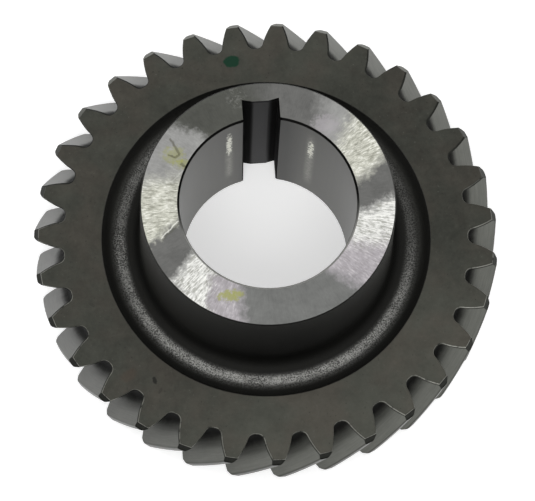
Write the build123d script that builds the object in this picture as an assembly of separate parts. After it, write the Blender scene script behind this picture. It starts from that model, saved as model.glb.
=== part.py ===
from build123d import *
import math
import os

# A helical transmission gear with a long hub, turned and cut from one forging. Millimetres.
# The origin is on the bore's axis at the gear's back face. +Z runs up the axis to the front
# face of the hub, and +Y runs from the axis to the middle of the keyway.

# Teeth: an involute gear with a right-hand helix
TOOTH_COUNT = 31
NORMAL_MODULE = 4.0
NORMAL_PRESSURE_ANGLE = 20.0    # degrees
HELIX_ANGLE = 31.5              # degrees, at the pitch circle
ADDENDUM = 4.2                  # pitch circle to tip circle
DEDENDUM = 5.6                  # pitch circle to root circle
TOOTH_THICKNESS = 6.8           # along the pitch circle, in the plane of rotation
ROOT_ROUNDING = 2.2
TIP_ROUNDING = 1.0
GAP_OFFSET = -1.0               # degrees from +Y to the middle of a tooth gap, on the front face

# Rim
FACE_WIDTH = 23.5               # along the axis
TIP_CHAMFER = 1.7
TOOTH_EDGE_BREAK = 0.4          # along the ends of the flanks and roots

# Bore and keyway
BORE_RADIUS = 28.0
BORE_CHAMFER = 0.7
KEYWAY_WIDTH = 11.2
KEYWAY_DEPTH = 5.6              # from the bore's wall to the keyway's roof, on its middle line
KEYWAY_FLAT_WIDTH = 5.2         # of the flat middle of the roof
KEYWAY_CORNER_RELIEF = 0.7      # how far the roof's corners reach beyond its flat middle
KEYWAY_MOUTH_BREAK = 0.5        # along the edges between the bore and the keyway's sides
KEYWAY_EDGE_BREAK = 0.4         # around its outline on both hub faces

# Hub: its back face is level with the rim's back face
HUB_WALL = 12.3                 # at the front face, between the bore and the hub's outside
HUB_RISE = 35.0                 # front face of the hub above the front face of the rim
HUB_DRAFT = 2.5                 # degrees
HUB_FOOT_ROUNDING = 5.0
HUB_BACK_STEP = 1.7             # how much larger its radius is at the back face
HUB_BACK_FOOT_ROUNDING = 2.5
HUB_EDGE_CHAMFER = 0.4

# Web: a shallow ring-shaped recess on each side, between the rim and the hub
RECESS_WIDTH = 14.2             # from the hub's front radius to the recess's outer edge
RECESS_DEPTH = 3.6
RECESS_WALL_SLOPE = 40.0        # degrees away from the axis
RECESS_ROUNDING = 5.0
RECESS_EDGE_ROUNDING = 0.5

# Values that follow from the sizes above
HELIX = math.radians(HELIX_ANGLE)
PITCH_RADIUS = NORMAL_MODULE * TOOTH_COUNT / (2 * math.cos(HELIX))
PRESSURE_ANGLE = math.atan(math.tan(math.radians(NORMAL_PRESSURE_ANGLE)) / math.cos(HELIX))
BASE_RADIUS = PITCH_RADIUS * math.cos(PRESSURE_ANGLE)
TIP_RADIUS = PITCH_RADIUS + ADDENDUM
ROOT_RADIUS = PITCH_RADIUS - DEDENDUM
TOOTH_STEP = 2 * math.pi / TOOTH_COUNT
TWIST = math.tan(HELIX) / PITCH_RADIUS      # radians that the teeth turn for each millimetre of height
HUB_FRONT = FACE_WIDTH + HUB_RISE
HUB_RADIUS = BORE_RADIUS + HUB_WALL         # at the front face
HUB_BACK_RADIUS = HUB_RADIUS + HUB_BACK_STEP
RECESS_OUTER_RADIUS = HUB_RADIUS + RECESS_WIDTH
CORE_RADIUS = (RECESS_OUTER_RADIUS + ROOT_RADIUS) / 2     # a circle inside the rim, under the teeth


def involute(angle):
    return math.tan(angle) - angle


def polar(radius, angle):
    return (radius * math.cos(angle), radius * math.sin(angle))


def flank_angle(radius, inset):
    """Angle from a tooth's middle to its flank, with the flank moved into the tooth by inset."""
    foot = TOOTH_THICKNESS / (2 * PITCH_RADIUS) + involute(PRESSURE_ANGLE) - inset / BASE_RADIUS
    return foot - involute(math.acos(BASE_RADIUS / radius))


def touch_point(radius, angle, step):
    """Where a circle centred beside the flank touches it: radius and angle from the tooth's middle."""
    string = math.sqrt(radius ** 2 - BASE_RADIUS ** 2) + step
    start = angle - math.acos(BASE_RADIUS / radius)
    return math.hypot(BASE_RADIUS, string), start + math.atan2(string, BASE_RADIUS)


def arc_middle(centre, radius, first, second):
    """The point of a small arc about the centre that lies halfway between two of its points."""
    out = Vector(*first) + Vector(*second) - Vector(*centre) * 2
    return Vector(*centre) + out.normalized() * radius


def half_tooth(inset):
    """Edges of one half of a tooth, from the middle of its tip to the middle of the gap."""
    tip = TIP_RADIUS - inset
    root = ROOT_RADIUS - inset
    tip_round = TIP_ROUNDING - inset
    root_round = ROOT_ROUNDING + inset
    # Centres of the rounding at the tip and at the root, and where each touches the flank
    tip_angle = flank_angle(tip - tip_round, inset + tip_round)
    high = touch_point(tip - tip_round, tip_angle, tip_round)
    root_angle = flank_angle(root + root_round, inset - root_round)
    low = touch_point(root + root_round, root_angle, -root_round)
    radii = [high[0] + (low[0] - high[0]) * i / 5 for i in range(6)]
    flank = [polar(r, flank_angle(r, inset)) for r in radii]
    tip_centre = polar(tip - tip_round, tip_angle)
    root_centre = polar(root + root_round, root_angle)
    tip_end = polar(tip, tip_angle)
    root_end = polar(root, root_angle)
    gap_middle = TOOTH_STEP / 2
    return [
        ThreePointArc(polar(tip, 0), polar(tip, tip_angle / 2), tip_end),
        ThreePointArc(tip_end, arc_middle(tip_centre, tip_round, tip_end, flank[0]), flank[0]),
        Spline(*flank),
        ThreePointArc(flank[-1], arc_middle(root_centre, root_round, flank[-1], root_end), root_end),
        ThreePointArc(root_end, polar(root, (root_angle + gap_middle) / 2), polar(root, gap_middle)),
    ]


def tooth_outline(inset, height):
    """The outline of all the teeth at a height, moved into the metal by inset."""
    half = half_tooth(inset)
    tooth = half + [edge.mirror(Plane.XZ) for edge in half]
    first = math.degrees(TWIST * (height - FACE_WIDTH)) + 90 + GAP_OFFSET
    edges = []
    for i in range(TOOTH_COUNT):
        turn = first + (i + 0.5) * 360 / TOOTH_COUNT
        edges += [edge.rotate(Axis.Z, turn) for edge in tooth]
    return Wire(edges).moved(Location((0, 0, height)))


def side_faces(solid):
    """Its faces apart from the flat ones across the axis."""
    return [face for face in solid.faces() if abs(face.normal_at().Z) < 0.99]


def toothed_disc():
    """The teeth on a full disc, with the sharp edge of each flank and root broken at both ends."""
    low = TOOTH_EDGE_BREAK
    high = FACE_WIDTH - TOOTH_EDGE_BREAK
    turn = math.degrees(TWIST * (high - low))
    middle = Solid.extrude_linear_with_rotation(
        tooth_outline(0, low), (0, 0, low), (0, 0, high - low), turn
    )
    back_outline = tooth_outline(TOOTH_EDGE_BREAK, 0)
    front_outline = tooth_outline(TOOTH_EDGE_BREAK, FACE_WIDTH)
    back = Solid.make_loft([back_outline, tooth_outline(0, low)], True)
    front = Solid.make_loft([tooth_outline(0, high), front_outline], True)
    skin = side_faces(middle) + side_faces(back) + side_faces(front)
    skin += [Face(back_outline), Face(front_outline)]
    return Solid(Shell(skin))


def turned(corners):
    """A ring turned about the axis, from (radius, height, rounding) corners of its section."""
    face = make_face(Polyline([(r, z) for r, z, _ in corners], close=True))
    for r, z, rounding in corners:
        if rounding > 0:
            corner = face.vertices().sort_by_distance((r, z, 0))[0]
            face = fillet(corner, rounding)
    return revolve(Plane.XZ * face, Axis.Z)


def rim_blank():
    """The turned ring that the teeth are cut in, with a chamfer on both ends of their tips."""
    return turned([
        (CORE_RADIUS, 0, 0),
        (TIP_RADIUS - TIP_CHAMFER, 0, 0),
        (TIP_RADIUS, TIP_CHAMFER, 0),
        (TIP_RADIUS, FACE_WIDTH - TIP_CHAMFER, 0),
        (TIP_RADIUS - TIP_CHAMFER, FACE_WIDTH, 0),
        (CORE_RADIUS, FACE_WIDTH, 0),
    ])


def core():
    """Everything inside the toothed rim: the web with its recesses, and the bored hub."""
    front_floor = FACE_WIDTH - RECESS_DEPTH
    recess_inner = RECESS_OUTER_RADIUS - RECESS_DEPTH * math.tan(math.radians(RECESS_WALL_SLOPE))
    draft = math.tan(math.radians(HUB_DRAFT))
    back_foot = HUB_BACK_RADIUS + draft * RECESS_DEPTH
    front_foot = HUB_RADIUS + draft * (HUB_FRONT - front_floor)
    return turned([
        (BORE_RADIUS, BORE_CHAMFER, 0),
        (BORE_RADIUS + BORE_CHAMFER, 0, 0),
        (HUB_BACK_RADIUS - HUB_EDGE_CHAMFER, 0, 0),
        (HUB_BACK_RADIUS, HUB_EDGE_CHAMFER, 0),
        (back_foot, RECESS_DEPTH, HUB_BACK_FOOT_ROUNDING),
        (recess_inner, RECESS_DEPTH, RECESS_ROUNDING),
        (RECESS_OUTER_RADIUS, 0, RECESS_EDGE_ROUNDING),
        (CORE_RADIUS, 0, 0),
        (CORE_RADIUS, FACE_WIDTH, 0),
        (RECESS_OUTER_RADIUS, FACE_WIDTH, RECESS_EDGE_ROUNDING),
        (recess_inner, front_floor, RECESS_ROUNDING),
        (front_foot, front_floor, HUB_FOOT_ROUNDING),
        (HUB_RADIUS, HUB_FRONT - HUB_EDGE_CHAMFER, 0),
        (HUB_RADIUS - HUB_EDGE_CHAMFER, HUB_FRONT, 0),
        (BORE_RADIUS + BORE_CHAMFER, HUB_FRONT, 0),
        (BORE_RADIUS, HUB_FRONT - BORE_CHAMFER, 0),
    ])


def keyway_section(grow):
    """The keyway seen along the bore, with its outline moved outward by grow."""
    half = KEYWAY_WIDTH / 2 + grow
    flat = KEYWAY_FLAT_WIDTH / 2
    roof = BORE_RADIUS + KEYWAY_DEPTH + grow
    slope = KEYWAY_CORNER_RELIEF / (KEYWAY_WIDTH / 2 - flat)
    corner = roof + slope * (half - flat)
    # The broken edge of the mouth meets the bore's wall here, and runs on a little way inside it
    mouth = math.sqrt(BORE_RADIUS ** 2 - (half + KEYWAY_MOUTH_BREAK) ** 2)
    flare = half + 2 * KEYWAY_MOUTH_BREAK
    right = [
        (flare, 0),
        (flare, mouth - KEYWAY_MOUTH_BREAK),
        (half, mouth + KEYWAY_MOUTH_BREAK),
        (half, corner),
        (flat, roof),
    ]
    left = [(-x, y) for x, y in reversed(right)]
    return make_face(Polyline(right + left, close=True))


def keyway():
    """What the keyway takes away, with its edge broken on both hub faces."""
    wide = keyway_section(KEYWAY_EDGE_BREAK)
    narrow = keyway_section(0)
    slot = extrude(narrow, HUB_FRONT)
    low = Pos(0, 0, KEYWAY_EDGE_BREAK)
    high = Pos(0, 0, HUB_FRONT - KEYWAY_EDGE_BREAK)
    back = loft([wide, low * narrow], ruled=True)
    front = loft([high * narrow, Pos(0, 0, HUB_FRONT) * wide], ruled=True)
    return slot + back + front


def helical_gear():
    teeth = toothed_disc() & rim_blank()
    return teeth + core() - keyway()


os.makedirs("parts", exist_ok=True)
gear = helical_gear()
export_step(gear, "parts/helical_gear.step")
print("volume", round(gear.volume / 1000, 1), "cm3, tip diameter", round(2 * TIP_RADIUS, 2), "mm")
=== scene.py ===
# %% [markdown]
# # A helical transmission gear
#
# The gear is one piece of steel: a toothed rim, a thin web, and a long hub with a keyed bore.
# Its shape comes from the CAD model, because every face on it is turned, hobbed or broached to size.
# This script gives it its finishes: a dark oxide on the rim, ground flanks, a grainy forged web,
# a freshly faced hub and a honed bore.
# Colours and scratches could be painted by hand on a texture. Here they are built from the place
# of each point on the gear instead, so that they stay sharp from any distance.

# %% Open the model
import math
import bpy
from mathutils import Matrix, Vector

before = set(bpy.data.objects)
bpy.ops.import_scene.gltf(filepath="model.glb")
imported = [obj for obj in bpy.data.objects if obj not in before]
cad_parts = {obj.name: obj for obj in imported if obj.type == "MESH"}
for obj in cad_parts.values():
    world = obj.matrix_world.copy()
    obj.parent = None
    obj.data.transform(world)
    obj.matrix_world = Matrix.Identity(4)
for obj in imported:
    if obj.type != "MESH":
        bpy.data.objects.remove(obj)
bpy.ops.object.select_all(action="DESELECT")
bpy.context.scene.view_settings.view_transform = "Standard"
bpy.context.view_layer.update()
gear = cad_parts["helical_gear"]

# %% [markdown]
# ## The sizes that the finishes follow
#
# Every finish on the gear ends at an edge of its shape, so the radii and heights of those edges are
# named here once. They are in millimetres, measured from the bore's axis and from the back face.
# The keyway's three sizes reach a little past its walls, so that its rounded edges are inside them.

# %% Sizes of the gear
RIM_FRONT = 23.5
HUB_FRONT = 58.5
BORE_RADIUS = 28.0
BORE_CHAMFER = 0.7
HUB_BACK_RADIUS = 42.0
RECESS_OUTER = 54.5
ROOT_RADIUS = 67.1
TIP_RADIUS = 76.9
TIP_CHAMFER = 1.7
EDGE_BREAK = 0.4
PITCH_RADIUS = 72.7
HELIX_ANGLE = 31.5
KEYWAY_HALF = 6.6
KEYWAY_START = 26.0
KEYWAY_END = 35.2
print("hub stands", HUB_FRONT - RIM_FRONT, "mm above the rim")

# %% [markdown]
# ## The camera
#
# The photograph was taken from high above the front with a long lens, a little tilted.
# A camera could be turned by its three angles. It is easier to check when it is placed by where it
# stands and what it looks at, so its matrix is put together from those two points and the tilt.

# %% Camera
EYE = Vector((-0.02582, -0.19614, 0.64686))
TARGET = Vector((0.0, -0.00525, 0.0235))
TILT = math.radians(3.608)

back = (EYE - TARGET).normalized()
level = Vector((0, 0, 1)).cross(back).normalized()
upright = back.cross(level)
right = level * math.cos(TILT) + upright * math.sin(TILT)
up = upright * math.cos(TILT) - level * math.sin(TILT)
lens_data = bpy.data.cameras.new("gear_camera")
lens_data.sensor_width = 36
lens_data.lens = 132.9
camera = bpy.data.objects.new("gear_camera", lens_data)
bpy.context.collection.objects.link(camera)
camera.matrix_world = Matrix.Translation(EYE) @ Matrix((right, up, back)).transposed().to_4x4()
bpy.context.scene.camera = camera
print("camera stands", round((EYE - TARGET).length, 3), "m from its target")

# %% [markdown]
# ## Writing a finish
#
# A finish is a sum of many small rules, such as "dark where the metal is steep". Joined by hand,
# the nodes of one rule fill a screen. This class wraps a socket, so that the same rule is one line
# of arithmetic, and each operator adds its own Math node.

# %% Arithmetic on sockets
class Value:
    """A number, colour or vector that varies over the surface."""

    def __init__(self, finish, socket):
        self.finish = finish
        self.socket = socket

    def math(self, operation, *others):
        return self.finish.node("ShaderNodeMath", {"operation": operation}, self, *others)

    def __add__(self, other):
        return self.math("ADD", other)

    def __radd__(self, other):
        return self.math("ADD", other)

    def __sub__(self, other):
        return self.math("SUBTRACT", other)

    def __rsub__(self, other):
        return self.finish.node("ShaderNodeMath", {"operation": "SUBTRACT"}, other, self)

    def __mul__(self, other):
        return self.math("MULTIPLY", other)

    def __rmul__(self, other):
        return self.math("MULTIPLY", other)

    def __truediv__(self, other):
        return self.math("DIVIDE", other)


# %% A finish and its nodes
class Finish:
    """A material or a sky under construction."""

    def __init__(self, owner):
        owner.use_nodes = True
        self.owner = owner
        self.tree = owner.node_tree

    def node(self, kind, settings, *inputs, output=0, **named):
        """Adds a node, sets it, feeds its sockets in order or by identifier, and gives one output."""
        made = self.tree.nodes.new(kind)
        for key, value in settings.items():
            if key == "stops":
                self.set_stops(made.color_ramp.elements, value)
            else:
                setattr(made, key, value)
        for socket, value in zip(made.inputs, inputs):
            self.feed(socket, value)
        for socket in made.inputs:
            if socket.identifier in named:
                self.feed(socket, named[socket.identifier])
        return Value(self, made.outputs[output])

    def feed(self, socket, value):
        if isinstance(value, Value):
            self.tree.links.new(value.socket, socket)
        else:
            socket.default_value = value

    def set_stops(self, elements, stops):
        """Gives a colour ramp its stops: a place from 0 to 1, and a colour."""
        for element, (position, colour) in zip(elements, (stops[0], stops[-1])):
            element.position = position
            element.color = colour
        for position, colour in stops[1:-1]:
            elements.new(position).color = colour

    def split(self, vector):
        """The three numbers of a vector."""
        first = self.node("ShaderNodeSeparateXYZ", {}, vector)
        return [Value(self, output) for output in first.socket.node.outputs]

    def rise(self, value, start, end):
        """Goes smoothly from 0 to 1 while the value goes from start to end."""
        settings = {"interpolation_type": "SMOOTHSTEP"}
        return self.node("ShaderNodeMapRange", settings, value, start, end, 0.0, 1.0)

    def between(self, value, low, high, soft):
        """1 from low to high, and 0 beyond a soft edge on either side."""
        entered = self.rise(value, low - soft, low + soft)
        passed = self.rise(value, high - soft, high + soft)
        return entered * (1 - passed)

    def noise(self, vector, scale, detail=3.0, roughness=0.5):
        return self.node("ShaderNodeTexNoise", {"noise_dimensions": "3D"}, Vector=vector, Scale=scale,
                         Detail=detail, Roughness=roughness)

    def mix(self, factor, first, second):
        """Blends two colours."""
        return self.node("ShaderNodeMix", {"data_type": "RGBA"}, output=2,
                         Factor_Float=factor, A_Color=first, B_Color=second)

    def scale(self, vector, factor):
        """A vector made longer, or a colour made brighter."""
        return self.node("ShaderNodeVectorMath", {"operation": "SCALE"}, vector, Scale=factor)


def paint(red, green, blue):
    """A colour written as it looks on a screen, 0 to 255, turned into light."""
    def light(level):
        level = level / 255
        return level / 12.92 if level < 0.04045 else ((level + 0.055) / 1.055) ** 2.4
    return (light(red), light(green), light(blue), 1.0)


print("grey 118 gives", round(paint(118, 118, 118)[0], 3), "of the light")

# %% [markdown]
# ## Where a point lies on the gear
#
# All finishes use the same few measures: how high a point is, how far from the axis, in which
# direction, and how level the metal is there. The direction is also kept as a vector, because an
# angle jumps from 180 to -180 degrees on one side of the gear, and a pattern would tear there.

# %% Measures
steel = Finish(bpy.data.materials.new("gear_steel"))
place = steel.scale(steel.node("ShaderNodeTexCoord", {}, output="Object"), 1000.0)
x, y, z = steel.split(place)
facing_up = steel.split(steel.node("ShaderNodeTexCoord", {}, output="Normal"))[2]
radius = (x * x + y * y).math("SQRT")
direction = y.math("ARCTAN2", x) * (180 / math.pi)
east = x / radius
north = y / radius
print("measures ready:", len(steel.tree.nodes), "nodes")

# %% [markdown]
# ## Which finish goes where
#
# Each machining step leaves its finish on certain faces. A face can be found by its height and
# radius, which gives masks between 0 and 1. The small edge breaks get their own masks, because
# a thin bright or dark line along every edge is what makes a machined part look real.

# %% Masks of the faces
cone_start = TIP_RADIUS - TIP_CHAMFER
tip_cone = steel.rise(radius + z - RIM_FRONT, cone_start - 0.05, cone_start + 0.05)
back_cone = steel.rise(radius - z, cone_start - 0.05, cone_start + 0.05)
in_bore = 1 - steel.rise(radius, BORE_RADIUS + 0.03, BORE_RADIUS + 0.1)
on_hub_top = steel.rise(z, HUB_FRONT - 0.05, HUB_FRONT - 0.01)
under = 1 - steel.rise(z, 0.01, 0.05)
beyond_recess = steel.rise(radius, RECESS_OUTER - 0.15, RECESS_OUTER + 0.15)
on_rim_top = steel.between(z, RIM_FRONT - 0.03, RIM_FRONT + 0.5, 0.02)
rim_face = (on_rim_top + under) * beyond_recess
hub_face = on_hub_top + under * (1 - steel.rise(radius, HUB_BACK_RADIUS - 0.3, HUB_BACK_RADIUS))
toothed = steel.rise(radius, ROOT_RADIUS - 1.0, ROOT_RADIUS - 0.5)
tip_chamfer = (tip_cone + back_cone) * toothed * (1 - rim_face)
edge_break = (1 - steel.between(z, EDGE_BREAK, RIM_FRONT - EDGE_BREAK, 0.03)) * toothed * (1 - rim_face)
keyway = steel.between(x, -KEYWAY_HALF, KEYWAY_HALF, 0.01) * steel.rise(y, KEYWAY_START, KEYWAY_START + 0.1)
keyway = keyway * (1 - in_bore) * (1 - hub_face)
keyway = keyway * (1 - steel.rise(y, KEYWAY_END, KEYWAY_END + 0.1))
print("masks ready:", len(steel.tree.nodes), "nodes")

# %% [markdown]
# ## The rim: dark oxide
#
# Heat treatment leaves the turned rim dark grey with a faint brown and green cast. It is never
# even, so a broad slow noise tints it, and a fine noise adds pinholes and tiny bright nicks.
# The face is also painted lighter to the south-east and darker to the north-east and west,
# a painted light and shade.

# %% Rim
OXIDE = paint(66, 67, 61)
OXIDE_BROWN = paint(68, 66, 60)
PINHOLE = paint(40, 40, 37)
NICK = paint(96, 96, 91)

clouds = steel.noise(place, 0.045, 4.0, 0.6)
dust = steel.noise(place, 0.55, 4.0, 0.75)
specks = steel.noise(place, 1.1, 2.0, 0.5)
rim_colour = steel.mix(steel.rise(clouds, 0.4, 0.62), OXIDE, OXIDE_BROWN)
# Painted light and shade: the rim face is painted lighter to the south-east and darker to the north-east
# and the west.
painted_shade_north_east = steel.between(direction, -12, 60, 14)
painted_light_south_east = steel.between(direction, -110, -28, 14)
west = (0 - east).math("MAXIMUM", 0.0)
smudges = steel.noise(place, 0.16, 5.0, 0.7)
painted_rim_light_and_shade = 0.17 * painted_light_south_east - 0.26 * painted_shade_north_east - 0.12 * west
rim_tone = 0.22 + 0.4 * dust + 0.85 * smudges + 0.44 * clouds + painted_rim_light_and_shade
rim_colour = steel.scale(rim_colour, rim_tone)
rim_colour = steel.mix(steel.rise(specks, 0.7, 0.76) * 0.35, rim_colour, NICK)
rim_colour = steel.mix((1 - steel.rise(specks, 0.25, 0.31)) * 0.5, rim_colour, PINHOLE)
print("rim ready:", len(steel.tree.nodes), "nodes")

# %% The green inspection dot
DOT = paint(16, 54, 38)
DOT_CENTRE = (-7.2, 62.7)
DOT_HALF_SIZES = (2.85, 2.25)

across = (x - DOT_CENTRE[0]) / DOT_HALF_SIZES[0]
along = (y - DOT_CENTRE[1]) / DOT_HALF_SIZES[1]
wobble = (steel.noise(place, 0.6, 3.0) - 0.5) * 1.1
dot = (1 - steel.rise(across * across + along * along + wobble, 0.65, 1.2)) * on_rim_top
rim_colour = steel.mix(dot * 0.92, rim_colour, DOT)
print("the dot is about", 2 * DOT_HALF_SIZES[0], "mm wide")

# %% Marks left by handling
def dent(cx, cy, wide, high, turn):
    """1 inside a soft, turned ellipse with an uneven edge."""
    dx = (x - cx) * math.cos(turn) + (y - cy) * math.sin(turn)
    dy = (y - cy) * math.cos(turn) - (x - cx) * math.sin(turn)
    dx = dx / wide
    dy = dy / high
    return 1 - steel.rise(dx * dx + dy * dy + (dust - 0.5) * 2.0, 0.4, 1.4)


def all_marks(shape, rows):
    """Adds up marks of one shape. Each row has the shape's place and sizes, and then its strength."""
    return sum(shape(*row[:-1]) * row[-1] for row in rows)


DENTS = [(-39.7, -46.6, 0.7, 1.3, 0.3, 1.4), (-38.0, -50.1, 0.5, 1.1, -0.5, 0.5),
         (39.8, -65.4, 1.8, 0.5, 0.5, 0.5), (-58.5, -20.0, 0.5, 1.2, 0.9, 0.4)]
RUST = paint(84, 66, 54)

dents = all_marks(dent, DENTS)
rim_colour = steel.mix((dents * 0.7).math("MINIMUM", 1.0), rim_colour, PINHOLE)
rim_colour = steel.mix(dent(-48.0, -44.4, 3.0, 1.8, 0.6) * 0.2, rim_colour, RUST)
print("marks on the rim ready:", len(steel.tree.nodes), "nodes")

# %% [markdown]
# ## The teeth: ground flanks
#
# The flanks are the only clean metal on the rim. The roots of the gaps and the low flanks are
# painted near-black, a painted shade, and the flanks are painted darker to the west. The chamfers at
# the ends of the teeth are older than the grinding and dark too, and painted paler on the keyway's
# side of the gear, a painted light. On the other side the thin edge next to the rim face gets a
# painted highlight.

# %% Teeth
FLANK = paint(96, 97, 92)
ROOT_SHADE = paint(18, 18, 16)
LAND = paint(62, 63, 58)
CHAMFER = paint(30, 31, 28)
CHAMFER_LIT = paint(104, 105, 98)
EDGE_BROKEN = paint(52, 53, 49)
EDGE_HIGHLIGHT = paint(142, 142, 135)
TWIST = math.tan(math.radians(HELIX_ANGLE)) / PITCH_RADIUS

untwist = z * -TWIST
turned_x = x * untwist.math("COSINE") - y * untwist.math("SINE")
turned_y = x * untwist.math("SINE") + y * untwist.math("COSINE")
lengthwise = steel.node("ShaderNodeCombineXYZ", {}, turned_x * 2.2, turned_y * 2.2, z * 0.12)
streaks = steel.noise(lengthwise, 1.0, 4.0, 0.7)
# Painted shade: the roots and the low flanks in the gaps are painted near-black.
out_of_root_shade = steel.rise(radius + 1.6 * smudges, ROOT_RADIUS + 1.4, ROOT_RADIUS + 4.6)
tooth_colour = steel.mix(out_of_root_shade, ROOT_SHADE, FLANK)
# Painted shade: the flanks are painted darker towards the west.
tooth_colour = steel.scale(tooth_colour, 0.5 + 0.7 * streaks + 0.3 * smudges - 0.42 * west)
land = steel.rise(radius, TIP_RADIUS - 0.6, TIP_RADIUS - 0.2)
tooth_colour = steel.mix(land, tooth_colour, steel.scale(LAND[:3], 0.7 + 0.6 * streaks))
tooth_colour = steel.mix(edge_break, tooth_colour, EDGE_BROKEN)
# Painted light: the chamfers are painted paler towards the north, the keyway's side.
bevel_colour = steel.mix(steel.rise(north, 0.3, 0.9), CHAMFER, CHAMFER_LIT)
tooth_colour = steel.mix(tip_chamfer, tooth_colour, steel.scale(bevel_colour, 0.8 + 0.4 * dust))
# Painted highlight: a thin bright line in patches on the front edge of the teeth, away from the north.
edge_highlight = steel.between(z, RIM_FRONT - 0.24, RIM_FRONT - 0.03, 0.04) * toothed
edge_highlight = edge_highlight * steel.rise(dust + 0.4 * smudges, 0.5, 0.72) * (1 - steel.rise(north, -0.1, 0.4))
tooth_colour = steel.mix(edge_highlight, tooth_colour, EDGE_HIGHLIGHT)
print("teeth ready:", len(steel.tree.nodes), "nodes")

# %% [markdown]
# ## The web: forged and blasted
#
# The recess between rim and hub was never machined. Shot blasting left it black with a crisp
# grain. A painted sheen brightens the grain on a ring of its level floor, strong in the south and
# faint in the north, where painted shade is left, and on one patch on the left. The hub's upright
# side is painted lighter to the east and west, a painted light and shade.

# %% Web
FORGED = paint(28, 28, 26)
FORGED_WALL = paint(56, 56, 53)
GRAIN_SHEEN = paint(178, 178, 174)
HUB_SIDE = paint(40, 40, 38)

grain = steel.noise(place, 2.1, 4.0, 0.75)
# Painted sheen: a bright grainy ring on the level floor of the recess, strongest in the south.
painted_sheen_ring = steel.between(radius, 47.1, 50.0, 0.8)
painted_sheen_ring = painted_sheen_ring + steel.between(radius, 46.5, 51.6, 0.9) * 0.35
level_metal = steel.rise(facing_up.math("ABSOLUTE"), 0.6, 0.97)
sparkle = 0.12 + 0.88 * steel.rise(grain + 0.25 * smudges, 0.52, 0.74)
south = (0 - north).math("MAXIMUM", 0.0)
sheen_towards_south = 0.23 + 0.58 * south - 0.08 * east
web_colour = steel.mix(steel.rise(radius, 49.5, 51.5), FORGED, FORGED_WALL)
web_colour = steel.mix(sparkle * painted_sheen_ring * level_metal * sheen_towards_south, web_colour, GRAIN_SHEEN)
# Painted sheen on the grain, on one patch on the left of the recess.
left_sheen_patch = dent(-48.5, -1.0, 2.2, 7.0, 0.1) * steel.rise(grain, 0.5, 0.62)
web_colour = steel.mix(left_sheen_patch * 0.4, web_colour, GRAIN_SHEEN)
hub_side = steel.rise(z, RIM_FRONT - 2.0, RIM_FRONT + 1.0)
# Painted light and shade: the hub's upright side is painted lighter to the east and west than to the north
# and south.
side_light_and_shade = (0.45 + 1.9 * east * east) * (0.7 + 0.6 * dust)
web_colour = steel.mix(hub_side, web_colour, steel.scale(HUB_SIDE[:3], side_light_and_shade))
print("web ready:", len(steel.tree.nodes), "nodes")

# %% [markdown]
# ## The hub's face: sectors of grinding and painted highlight
#
# The face was ground with the gear turning slowly under the wheel, and each pass ends in a
# slightly different stroke. The sectors are partly that finish and partly painted highlight: the
# bright ones are painted reflections of the grinding lines, and their neighbours look dull. A colour
# ramp round the face holds these sectors. Their borders lean a little, because a stroke isn't quite
# radial, and noise frays them. Fine radial strokes are drawn over the bright ones, the whitest as
# painted highlights.

# %% Sectors
SHADE = paint(84, 85, 80)
DULL = paint(108, 108, 106)
MID = paint(116, 117, 115)
LILAC = paint(176, 171, 175)
PALE = paint(154, 154, 152)
SILVER = paint(226, 226, 222)
WARM = paint(200, 200, 188)
# Painted highlight and finish: the bright sectors are painted reflections of the grinding lines.
SECTORS = [(-180, WARM, 0), (-167, DULL, 2.5), (-145, SILVER, 4), (-126, LILAC, 2), (-109, MID, 4),
           (-50, LILAC, 4), (-27, SILVER, 5), (-6, DULL, 4), (14, WARM, 4), (40, PALE, 4), (56, DULL, 6),
           (88, SHADE, 7), (132, PALE, 3), (163, WARM, 7)]


def sector_stops():
    """Two stops for each border, as far apart as it is soft."""
    stops = [(0.0, SECTORS[0][1])]
    for (_, before, _), (start, tone, soft) in zip(SECTORS, SECTORS[1:]):
        stops.append(((start - soft + 180) / 360, before))
        stops.append(((start + soft + 180) / 360, tone))
    return stops + [(1.0, SECTORS[-1][1])]


sweep = direction - (radius - 34.0) * 0.7
fray = (steel.noise(place, 0.12, 2.0, 0.5) - 0.5) * 14 + (steel.noise(place, 0.6, 4.0, 0.7) - 0.5) * 12
turn = ((sweep + fray + 180) / 360).math("WRAP", 1.0, 0.0)
sector = steel.node("ShaderNodeValToRGB", {"stops": sector_stops()}, turn)
print("sectors:", len(SECTORS), "stops:", len(sector_stops()))

# %% Strokes on the face
def ring_vector(per_mm_round, per_mm_out, shift):
    """A place for noise that is measured round the gear and outwards from its axis."""
    turn_scale = 34 * per_mm_round
    return steel.node("ShaderNodeCombineXYZ", {}, east * turn_scale, north * turn_scale,
                      radius * per_mm_out + shift)


STROKE_HIGHLIGHT = paint(246, 246, 240)
DULL_STROKE = paint(124, 124, 106)

shine = steel.rise(steel.node("ShaderNodeRGBToBW", {}, sector), 0.3, 0.62)
strokes = steel.noise(ring_vector(2.2, 0.45, 3.0), 1.0, 4.0, 0.7)
blotches = steel.noise(place, 0.35, 4.0, 0.65)
shadows = steel.noise(place, 0.11, 3.0, 0.6)
tone = 0.5 + 0.55 * blotches + 0.45 * shadows + (strokes - 0.5) * (0.4 + 1.4 * shine)
hub_colour = steel.scale(sector, tone)
# Painted highlight: the brightest strokes in the shining sectors are painted white.
stroke_highlights = steel.rise(strokes + 0.5 * blotches, 0.78, 0.92) * shine
dull_strokes = (1 - steel.rise(strokes + 0.5 * blotches, 0.62, 0.74)) * shine
hub_colour = steel.mix(stroke_highlights * 0.7, hub_colour, STROKE_HIGHLIGHT)
hub_colour = steel.mix(dull_strokes * 0.4, hub_colour, DULL_STROKE)
print("hub face ready:", len(steel.tree.nodes), "nodes")

# %% Stains and scratches on the face
ragged = steel.noise(place, 0.7, 4.0, 0.7)


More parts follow.
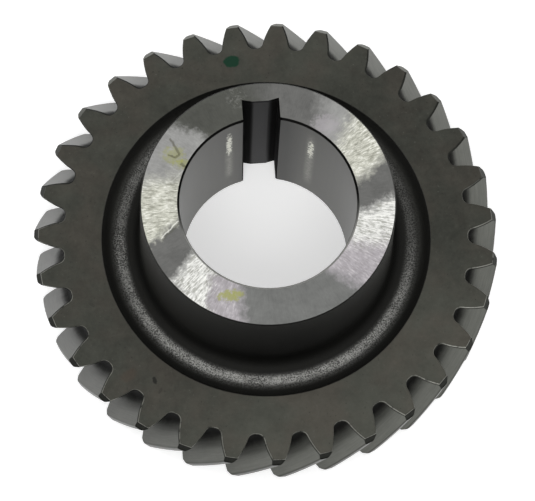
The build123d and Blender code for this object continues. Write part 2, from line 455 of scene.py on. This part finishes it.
def patch(cx, cy, wide, high):
    """1 inside a soft ellipse with an uneven edge."""
    dx = (x - cx) / wide
    dy = (y - cy) / high
    return (1 - steel.rise(dx * dx + dy * dy + (ragged - 0.5) * 4.5, 0.1, 1.5)) * on_hub_top


def scratch(x1, y1, x2, y2, width):
    """1 along a straight scratch."""
    length = math.hypot(x2 - x1, y2 - y1)
    ux = (x2 - x1) / length
    uy = (y2 - y1) / length
    forward = (x - x1) * ux + (y - y1) * uy
    aside = ((y - y1) * ux - (x - x1) * uy + (blotches - 0.5) * 1.6).math("ABSOLUTE")
    on_it = 1 - steel.rise(aside, width * 0.4, width)
    return on_it * steel.between(forward, 0.0, length, 0.2) * on_hub_top


STAIN = paint(160, 162, 92)
STAINS = [(-13.9, -29.7, 4.2, 1.8, 1.0), (-28.8, 17.6, 3.6, 3.0, 0.6), (-26.0, 14.4, 2.6, 2.0, 0.6)]
ROUGHED = paint(176, 176, 172)
SCORE = paint(78, 76, 56)
DARK_SCRATCHES = [(-29.7, 23.2, -27.7, 19.7, 0.5, 1.0), (-27.7, 19.7, -26.8, 17.6, 0.6, 1.0),
                  (-26.8, 17.6, -28.4, 16.6, 0.6, 1.0), (-28.4, 16.6, -30.5, 17.9, 0.4, 1.0),
                  (-26.7, 14.6, -24.9, 12.8, 0.6, 1.0), (-28.0, -4.9, -34.0, -10.4, 0.4, 0.5)]
FRESH = paint(246, 246, 238)
BRIGHT_SCRATCHES = [(-28.6, -4.4, -34.4, -9.8, 0.3, 1.0), (-25.5, 12.6, -30.6, 8.4, 0.3, 0.3)]

stained = all_marks(patch, STAINS) * (0.35 + 0.9 * steel.noise(place, 1.3, 3.0, 0.7))
hub_colour = steel.mix(stained.math("MINIMUM", 0.9), hub_colour, STAIN)
roughed = patch(-7.6, 36.0, 3.4, 4.0) * steel.rise(steel.noise(place, 1.1, 4.0, 0.7), 0.45, 0.62)
hub_colour = steel.mix(roughed * 0.2, hub_colour, ROUGHED)
hub_colour = steel.mix(patch(20.0, 24.5, 4.4, 3.6) * 0.6, hub_colour, LILAC)
dark_scratches = all_marks(scratch, DARK_SCRATCHES) * (0.2 + 0.7 * ragged)
hub_colour = steel.mix(dark_scratches.math("MINIMUM", 0.65), hub_colour, SCORE)
bright_scratches = all_marks(scratch, BRIGHT_SCRATCHES)
hub_colour = steel.mix(bright_scratches * 0.6, hub_colour, FRESH)
print("marks ready:", len(steel.tree.nodes), "nodes")

# %% [markdown]
# ## The bore and the keyway
#
# The bore is honed to a satin grey with a painted shade near the keyway, and two speckled
# upright painted highlights. The keyway was broached before hardening, and is as dark as the web,
# with its corners painted near-black, a painted shade. The small bevel at the mouth of the bore is
# painted bright on the near side and dark on the far side, a painted light and shade.

# %% Bore
HONED = paint(84, 84, 80)
BORE_HIGHLIGHT = paint(236, 236, 224)
BROACHED = paint(50, 50, 51)
CORNER_SHADE = paint(7, 7, 7)
BEVEL_LIT = paint(150, 150, 146)
BEVEL_SHADED = paint(20, 20, 19)

honing = steel.noise(ring_vector(0.5, 0.0, 9.0), 1.0, 3.0, 0.6)
# Painted shade: the bore is painted darker near the keyway.
shaded = 0.68 * steel.between(direction, 66, 103, 9)
bore_colour = steel.scale(HONED[:3], 0.86 + 0.16 * honing + 0.12 * blotches - shaded)
crumbs = steel.rise(steel.noise(place, 1.0, 4.0, 0.75), 0.36, 0.62)
# Painted highlights: two speckled upright bright bands on the bore wall, and fainter ones below them.
left_highlight = steel.between(direction, 110.4, 113.8, 2.8) * steel.between(z, 33.0, 51.0, 6.0)
right_highlight = steel.between(direction, 53.6, 57.0, 2.8) * steel.between(z, 33.0, 47.0, 6.0)
faint = steel.between(direction, 110.0, 114.4, 2.4) * steel.between(z, 12.0, 36.0, 4.0) * 0.3
faint = faint + steel.between(direction, 53.0, 58.0, 2.5) * steel.between(z, 10.0, 50.0, 6.0) * 0.3
painted_highlights = steel.rise((left_highlight + right_highlight) * (0.25 + 0.75 * crumbs), 0.16, 0.5)
painted_highlights = painted_highlights + faint * (0.3 + 0.5 * crumbs)
bore_colour = steel.mix(painted_highlights.math("MINIMUM", 1.0), bore_colour, BORE_HIGHLIGHT)
# Painted shade: the keyway's corners, beside its middle, are painted near-black.
slot_middle = steel.between(x, -2.6, 3.4, 0.8)
slot_colour = steel.mix(slot_middle, CORNER_SHADE, steel.scale(BROACHED[:3], 0.8 + 0.4 * streaks))

bevel_end = BORE_RADIUS + BORE_CHAMFER
bore_bevel = 1 - steel.rise(radius, bevel_end - 0.04, bevel_end + 0.01)
bore_bevel = bore_bevel * (1 - in_bore) * (1 - hub_face) * (1 - keyway)
# Painted light and shade: the bevel is painted bright on the near, south side and dark on the far, north
# side.
far_side = steel.rise(north, -0.45, 0.05)
bevel_light_and_shade = steel.mix(far_side, BEVEL_LIT, BEVEL_SHADED)
print("bore ready:", len(steel.tree.nodes), "nodes")

# %% [markdown]
# ## One steel
#
# The finishes are stacked by their masks into one material, since it is one piece of steel. Only
# its colour, roughness and small bumps change from face to face.

# %% Stack
colour = steel.mix(toothed, web_colour, tooth_colour)
colour = steel.mix(rim_face, colour, rim_colour)
colour = steel.mix(hub_face, colour, hub_colour)
colour = steel.mix(in_bore, colour, bore_colour)
colour = steel.mix(keyway, colour, slot_colour)
colour = steel.mix(bore_bevel, colour, bevel_light_and_shade)
METAL = 0.85
surface = steel.tree.nodes["Principled BSDF"]
steel.feed(surface.inputs["Base Color"], colour)
steel.feed(surface.inputs["Metallic"], METAL - METAL * bore_bevel * (1 - far_side))
roughness = 0.45 - 0.08 * toothed - 0.1 * hub_face - 0.18 * in_bore
roughness = roughness + 0.1 * (1 - toothed) * (1 - rim_face) + 0.35 * keyway * (1 - slot_middle)
roughness = roughness + 0.45 * toothed * (1 - rim_face) * (1 - out_of_root_shade)
steel.feed(surface.inputs["Roughness"], roughness)
height = grain * (1 - toothed) * (1 - rim_face) * (1 - hub_face) * (1 - in_bore) * (1 - keyway)
height = height + strokes * hub_face * 0.25 + dust * rim_face * 0.2
bump = steel.node("ShaderNodeBump", {}, Strength=0.5, Distance=0.0003, Height=height)
steel.feed(surface.inputs["Normal"], bump)
gear.material_slots[0].material = steel.owner
print("steel has", len(steel.tree.nodes), "nodes")

# %% [markdown]
# ## The floor and the light
#
# The gear lies on white paper. The paper is a plain white plane. Seen by the camera and in
# reflections it also glows a little, which brings it to pure white but keeps the soft shadow.
# The sky is bright overhead and dark near the horizon, as in a room with lamps above a table, and
# that is why upright and bevelled faces of the gear look darker than flat ones.

# %% Floor
PAPER = (0.8, 0.8, 0.8, 1)
PAPER_GLOW = 0.5
WHITE = (1, 1, 1, 1)

bpy.ops.mesh.primitive_plane_add(size=6.0, location=(0, 0, -0.0002))
floor = bpy.context.object
floor.name = "floor"
paper = Finish(bpy.data.materials.new("paper"))
sheet = paper.tree.nodes["Principled BSDF"]
sheet.inputs["Base Color"].default_value = PAPER
sheet.inputs["Roughness"].default_value = 0.9
sheet.inputs["Emission Color"].default_value = WHITE
seen = paper.node("ShaderNodeLightPath", {}, output="Is Camera Ray")
seen = seen + paper.node("ShaderNodeLightPath", {}, output="Is Glossy Ray")
paper.feed(sheet.inputs["Emission Strength"], seen * PAPER_GLOW)
floor.data.materials.append(paper.owner)
bpy.ops.object.select_all(action="DESELECT")
print("floor", tuple(round(side, 2) for side in floor.dimensions))

# %% Sky
HORIZON = 0.07

studio = bpy.data.worlds.new("studio")
bpy.context.scene.world = studio
sky = Finish(studio)
gaze_up = sky.split(sky.node("ShaderNodeTexCoord", {}, output="Generated"))[2]
glow = HORIZON + (1 - HORIZON) * sky.rise(gaze_up, 0.25, 0.9)
by_camera = sky.node("ShaderNodeLightPath", {}, output="Is Camera Ray")
background = sky.tree.nodes["Background"]
background.inputs["Color"].default_value = WHITE
sky.feed(background.inputs["Strength"], by_camera + (1 - by_camera) * glow)
print("sky ready")

# %% Lamps
def softbox(name, spot, aim, width, height, watts):
    """Adds a rectangular lamp that faces a point."""
    data = bpy.data.lights.new(name, "AREA")
    data.shape = "RECTANGLE"
    data.size = width
    data.size_y = height
    data.energy = watts
    lamp = bpy.data.objects.new(name, data)
    bpy.context.collection.objects.link(lamp)
    lamp.location = spot
    lamp.rotation_euler = (Vector(aim) - Vector(spot)).to_track_quat("-Z", "Y").to_euler()
    print(name, "gives", watts, "W")


MIDDLE = (0, 0, 0.02)
softbox("front_lamp", (-0.1, -0.7, 1.2), MIDDLE, 0.7, 0.5, 5)
softbox("left_lamp", (-0.9, 0.5, 0.9), MIDDLE, 0.5, 0.5, 2)
softbox("right_lamp", (0.9, 0.5, 0.9), MIDDLE, 0.5, 0.5, 2)
